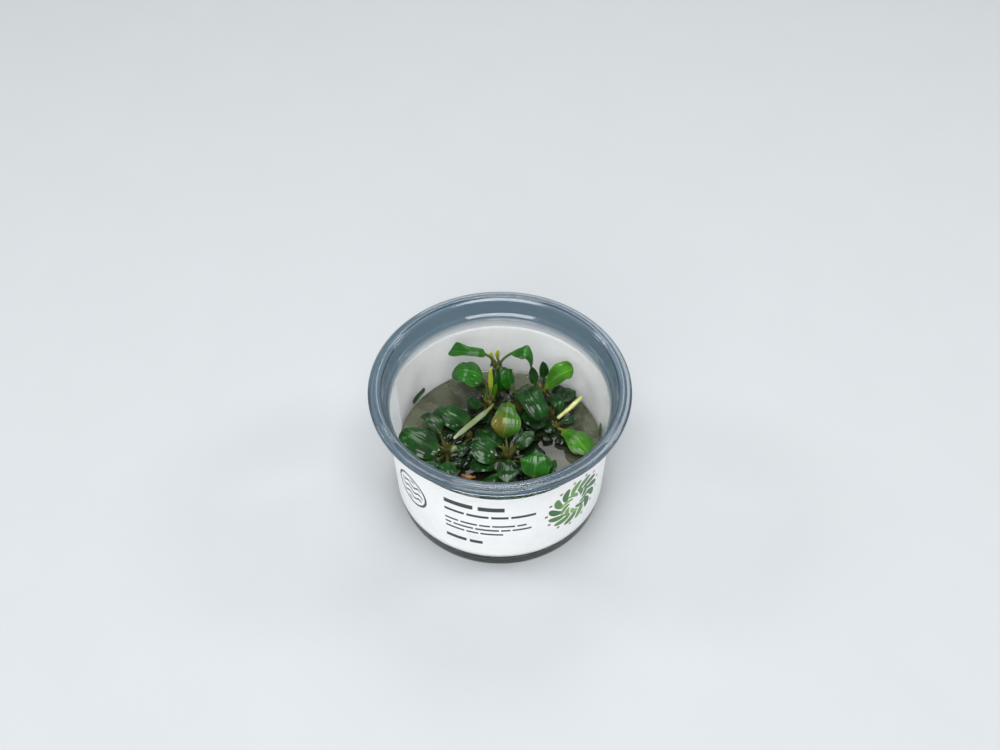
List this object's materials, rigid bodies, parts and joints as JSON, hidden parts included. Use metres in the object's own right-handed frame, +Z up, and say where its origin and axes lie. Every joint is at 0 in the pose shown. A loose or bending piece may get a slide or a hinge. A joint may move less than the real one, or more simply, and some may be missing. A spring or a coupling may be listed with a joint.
{
  "type": "aquarium plant in growing cup",
  "caption": "Clump of small broad-leaved aquarium plant shoots rooted in nutrient gel inside a round see-through cup with a paper label wrapped round its wall.",
  "frame": {"origin": "centre of the cup on the plane it stands on", "axes": "+Z up along the cup's axis, +Y away from the viewer of the picture, +X to the viewer's right"},
  "size_m": [0.1, 0.1, 0.061],
  "materials": {
    "clear_plastic": "see-through moulded polypropylene, smooth and slightly smoky",
    "label_paper": "satin white label paper",
    "gel": "cloudy olive-grey set gel with a wet surface",
    "rhizome": "rough olive-brown plant stem",
    "leaf_deep": "glossy dark green leaf",
    "leaf_mid": "glossy green leaf",
    "leaf_bright": "satin bright green leaf",
    "leaf_pale": "pale grey-green leaf or stalk",
    "leaf_new": "satin yellow-green new leaf",
    "leaf_worn": "glossy green leaf with a yellow-brown patch",
    "dead": "dry orange-brown dead root"
  },
  "bodies": {
    "root": {"back_arch": "leaf_mid", "back_hanging": "leaf_deep", "back_spike": "leaf_new", "back_spike_small": "leaf_new", "back_stem": "rhizome", "back_strap": "leaf_mid", "centre_spoon": "leaf_worn", "centre_stem": "rhizome", "centre_upright": "leaf_mid", "cup": "clear_plastic", "dead_root": "dead", "front_middle_far": "leaf_deep", "front_middle_low": "leaf_deep", "front_middle_near": "leaf_deep", "front_middle_right": "leaf_deep", "front_middle_rise": "leaf_deep", "front_middle_stem": "rhizome", "front_middle_up": "leaf_deep", "front_right_face": "leaf_mid", "front_right_low": "leaf_deep", "front_right_out": "leaf_deep", "front_right_small": "leaf_deep", "front_right_stem": "rhizome", "label_back": "label_paper", "label_front": "label_paper", "left_bud": "leaf_pale", "left_curl": "leaf_deep", "left_lower": "leaf_deep", "left_middle_dark": "leaf_deep", "left_middle_short": "leaf_deep", "left_middle_stem": "rhizome", "left_middle_sunk": "leaf_deep", "left_near": "leaf_deep", "left_stem": "rhizome", "left_upper": "leaf_deep", "middle_broad": "leaf_mid", "middle_low": "leaf_deep", "middle_small": "leaf_deep", "middle_spike": "leaf_new", "middle_spike_side": "leaf_bright", "middle_stem": "rhizome", "middle_strap": "leaf_pale", "nutrient_gel": "gel", "old_stalk": "leaf_pale", "right_back_bright": "leaf_bright", "right_back_small": "leaf_deep", "right_back_stem": "rhizome", "right_back_tall": "leaf_deep", "right_curl": "leaf_deep", "right_inner": "leaf_deep", "right_outer_bright": "leaf_bright", "right_outer_short": "leaf_deep", "right_outer_stem": "rhizome", "right_outer_sunk": "leaf_deep", "right_stem": "rhizome", "right_sunk_far": "leaf_deep", "right_wall": "leaf_deep", "right_wide": "leaf_deep", "scrap_left": "leaf_deep", "scrap_right": "leaf_deep"}
  },
  "joints": []
}
